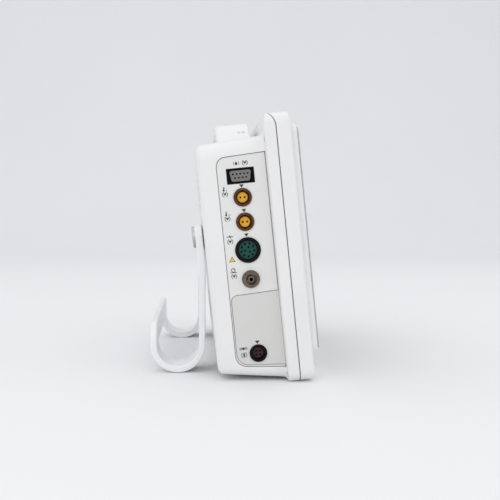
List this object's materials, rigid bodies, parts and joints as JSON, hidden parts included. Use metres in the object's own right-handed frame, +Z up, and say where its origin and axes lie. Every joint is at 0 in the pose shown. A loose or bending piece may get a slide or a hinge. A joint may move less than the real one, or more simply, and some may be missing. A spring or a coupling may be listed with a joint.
{
  "type": "patient monitor",
  "caption": "Bedside patient monitor leaning back on a table, with side connector panel, carrying handle, battery door and a swivelling bed hook at the back.",
  "frame": {"origin": "centre of the overall box on the table plane under the feet", "axes": "+Z up, +X to the right of a person who faces the screen, +Y from the screen towards the bed hook"},
  "size_m": [0.27, 0.1304, 0.2035],
  "materials": {
    "housing_plastic": "white moulded plastic, fine satin texture",
    "panel_plastic": "white moulded plastic, fine grain",
    "module_plastic": "light grey moulded plastic",
    "screen_glass": "black-bordered cover glass",
    "display": "dark flat panel in a metal tray",
    "sheet_steel": "zinc-plated sheet",
    "steel_fastener": "zinc-plated",
    "washer_plastic": "natural nylon",
    "gasket_rubber": "grey-brown elastomer",
    "key_rubber": "light grey silicone",
    "lamp_lens": "frosted translucent lens",
    "circuit_board": "solder mask",
    "copper_shell": "dark copper-brown shell",
    "yellow_insert": "yellow-orange moulded insulator",
    "black_shell": "black moulded shell",
    "teal_insert": "dark teal moulded insulator",
    "maroon_insert": "dark maroon moulded insulator",
    "grey_insert": "mid grey moulded plastic",
    "nickel": "nickel-plated",
    "brass": "knurled brass",
    "cast_metal": "as cast",
    "tubing": "translucent silicone",
    "battery": "dark moulded plastic",
    "hook_paint": "white powder coat on bent steel"
  },
  "bodies": {
    "housing": {"alarm_board": "circuit_board", "alarm_lens": "lamp_lens", "battery_bay": "battery", "battery_pack": "battery", "carry_handle": "housing_plastic", "case_gasket": "gasket_rubber", "case_screws": "steel_fastener", "chassis_plate": "sheet_steel", "chassis_screws": "steel_fastener", "connector_nuts": "steel_fastener", "display_glass": "screen_glass", "door_pins": "steel_fastener", "earth_stud": "nickel", "ecg_collar": "black_shell", "ecg_insert": "teal_insert", "front_bezel": "housing_plastic", "gas_collar": "black_shell", "gas_insert": "maroon_insert", "gas_module": "cast_metal", "handle_screws": "steel_fastener", "key_board": "circuit_board", "lcd_frame": "sheet_steel", "lcd_module": "display", "left_port_panel": "panel_plastic", "main_board": "circuit_board", "mains_inlet": "black_shell", "module_faceplate": "module_plastic", "mounting_inserts": "brass", "network_socket": "nickel", "parameter_board": "circuit_board", "power_board": "circuit_board", "pressure_fitting": "nickel", "pressure_pump": "cast_metal", "pressure_tube": "tubing", "rear_case": "housing_plastic", "right_port_panel": "panel_plastic", "rubber_feet": "gasket_rubber", "speaker": "black_shell", "spo2_insert": "grey_insert", "spo2_shell": "black_shell", "swivel_bolt": "steel_fastener", "swivel_nut": "steel_fastener", "swivel_plate": "sheet_steel", "swivel_washer": "washer_plastic", "temperature_1_collar": "copper_shell", "temperature_1_insert": "yellow_insert", "temperature_2_collar": "copper_shell", "temperature_2_insert": "yellow_insert", "usb_sockets": "nickel", "valve_block": "cast_metal"},
    "power_key_body": {"power_key": "key_rubber"},
    "alarm_pause_key_body": {"alarm_pause_key": "key_rubber"},
    "alarm_reset_key_body": {"alarm_reset_key": "key_rubber"},
    "pressure_start_key_body": {"pressure_start_key": "key_rubber"},
    "freeze_key_body": {"freeze_key": "key_rubber"},
    "record_key_body": {"record_key": "key_rubber"},
    "menu_key_body": {"menu_key": "key_rubber"},
    "battery_door_body": {"battery_door": "panel_plastic"},
    "door_latch_body": {"door_latch": "grey_insert"},
    "bed_hook_body": {"bed_hook": "hook_paint"}
  },
  "joints": [
    {"name": "power_key_press", "type": "slide", "parent": "housing", "child": "power_key_body", "axis": [0, 0.9942, -0.1071], "range_m": [0, 0.001], "stiffness_N_per_m": 1500},
    {"name": "alarm_pause_key_press", "type": "slide", "parent": "housing", "child": "alarm_pause_key_body", "axis": [0, 0.9942, -0.1071], "range_m": [0, 0.001], "stiffness_N_per_m": 1500},
    {"name": "alarm_reset_key_press", "type": "slide", "parent": "housing", "child": "alarm_reset_key_body", "axis": [0, 0.9942, -0.1071], "range_m": [0, 0.001], "stiffness_N_per_m": 1500},
    {"name": "pressure_start_key_press", "type": "slide", "parent": "housing", "child": "pressure_start_key_body", "axis": [0, 0.9942, -0.1071], "range_m": [0, 0.001], "stiffness_N_per_m": 1500},
    {"name": "freeze_key_press", "type": "slide", "parent": "housing", "child": "freeze_key_body", "axis": [0, 0.9942, -0.1071], "range_m": [0, 0.001], "stiffness_N_per_m": 1500},
    {"name": "record_key_press", "type": "slide", "parent": "housing", "child": "record_key_body", "axis": [0, 0.9942, -0.1071], "range_m": [0, 0.001], "stiffness_N_per_m": 1500},
    {"name": "menu_key_press", "type": "slide", "parent": "housing", "child": "menu_key_body", "axis": [0, 0.9942, -0.1071], "range_m": [0, 0.001], "stiffness_N_per_m": 1500},
    {"name": "battery_door_hinge", "type": "hinge", "parent": "housing", "child": "battery_door_body", "pos_m": [0.1263, -0.0009, 0.04186], "axis": [0, 0.1071, 0.9942], "range_deg": [0, 95]},
    {"name": "door_latch_slide", "type": "slide", "parent": "battery_door_body", "child": "door_latch_body", "axis": [0, 0.9942, -0.1071], "range_m": [0, 0.0015], "stiffness_N_per_m": 300},
    {"name": "hook_swivel", "type": "hinge", "parent": "housing", "child": "bed_hook_body", "pos_m": [0, 0.02295, 0.10637], "axis": [0, 0.9942, -0.1071], "range_deg": [0, 180]}
  ]
}
